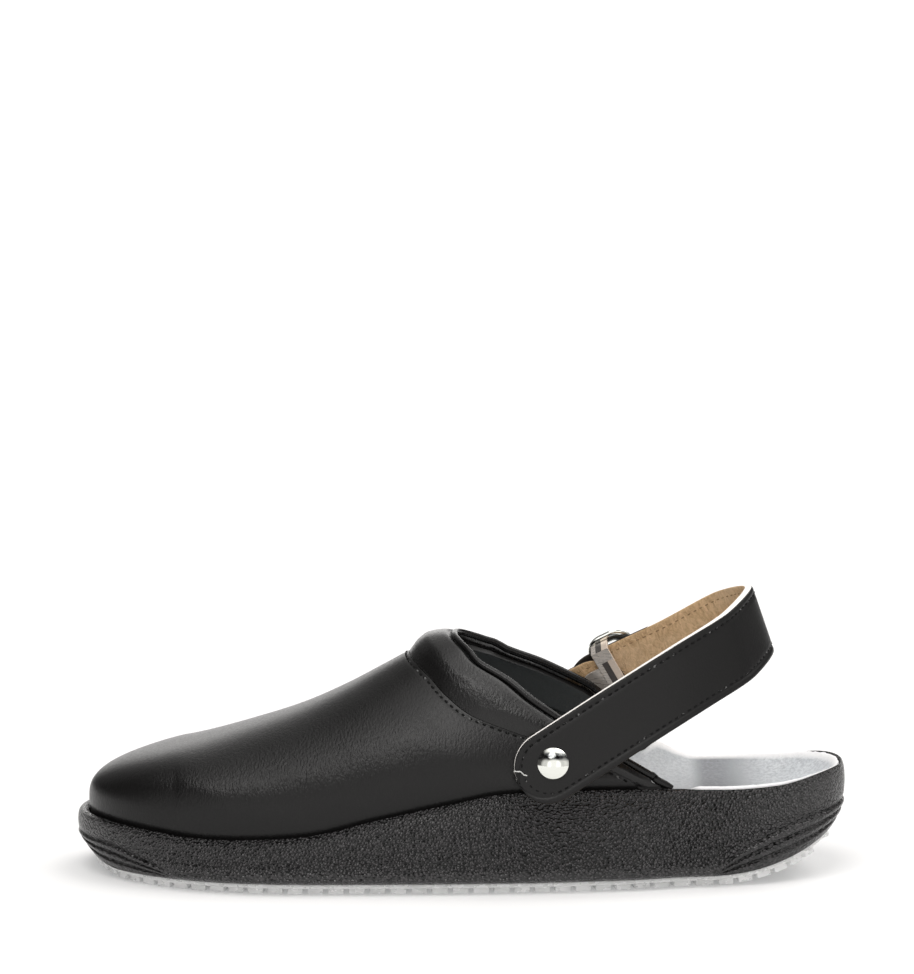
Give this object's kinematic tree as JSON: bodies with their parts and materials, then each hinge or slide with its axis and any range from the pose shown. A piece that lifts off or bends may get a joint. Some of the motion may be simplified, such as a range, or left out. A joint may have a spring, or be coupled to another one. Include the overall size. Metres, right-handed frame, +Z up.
{
  "type": "work clog",
  "caption": "Closed-toe leather work clog for the left foot with a padded collar, a riveted heel strap with a buckle on its inner side, a thick moulded sole and a lugged outsole.",
  "frame": {"origin": "on the floor, under the middle of the sole's bounding box", "axes": "-X to the toe, +X to the heel, -Y to the outer side, +Y to the inner side, +Z up from the floor"},
  "size_m": [0.285, 0.1041, 0.1064],
  "materials": {
    "leather": "smooth black leather with a soft sheen",
    "black_foam": "moulded black foam with a fine embossed grain",
    "clear_rubber": "clear grey rubber",
    "suede": "pale blue-grey suede",
    "polished_metal": "polished silver metal"
  },
  "bodies": {
    "root": {"outsole": "clear_rubber", "midsole": "black_foam", "insole": "suede", "upper": "leather", "collar": "leather", "binding": "leather", "heel_strap": "leather", "strap_tab": "leather", "buckle_frame": "polished_metal", "buckle_plate": "polished_metal", "rivet_lateral": "polished_metal", "rivet_medial": "polished_metal"}
  },
  "joints": []
}
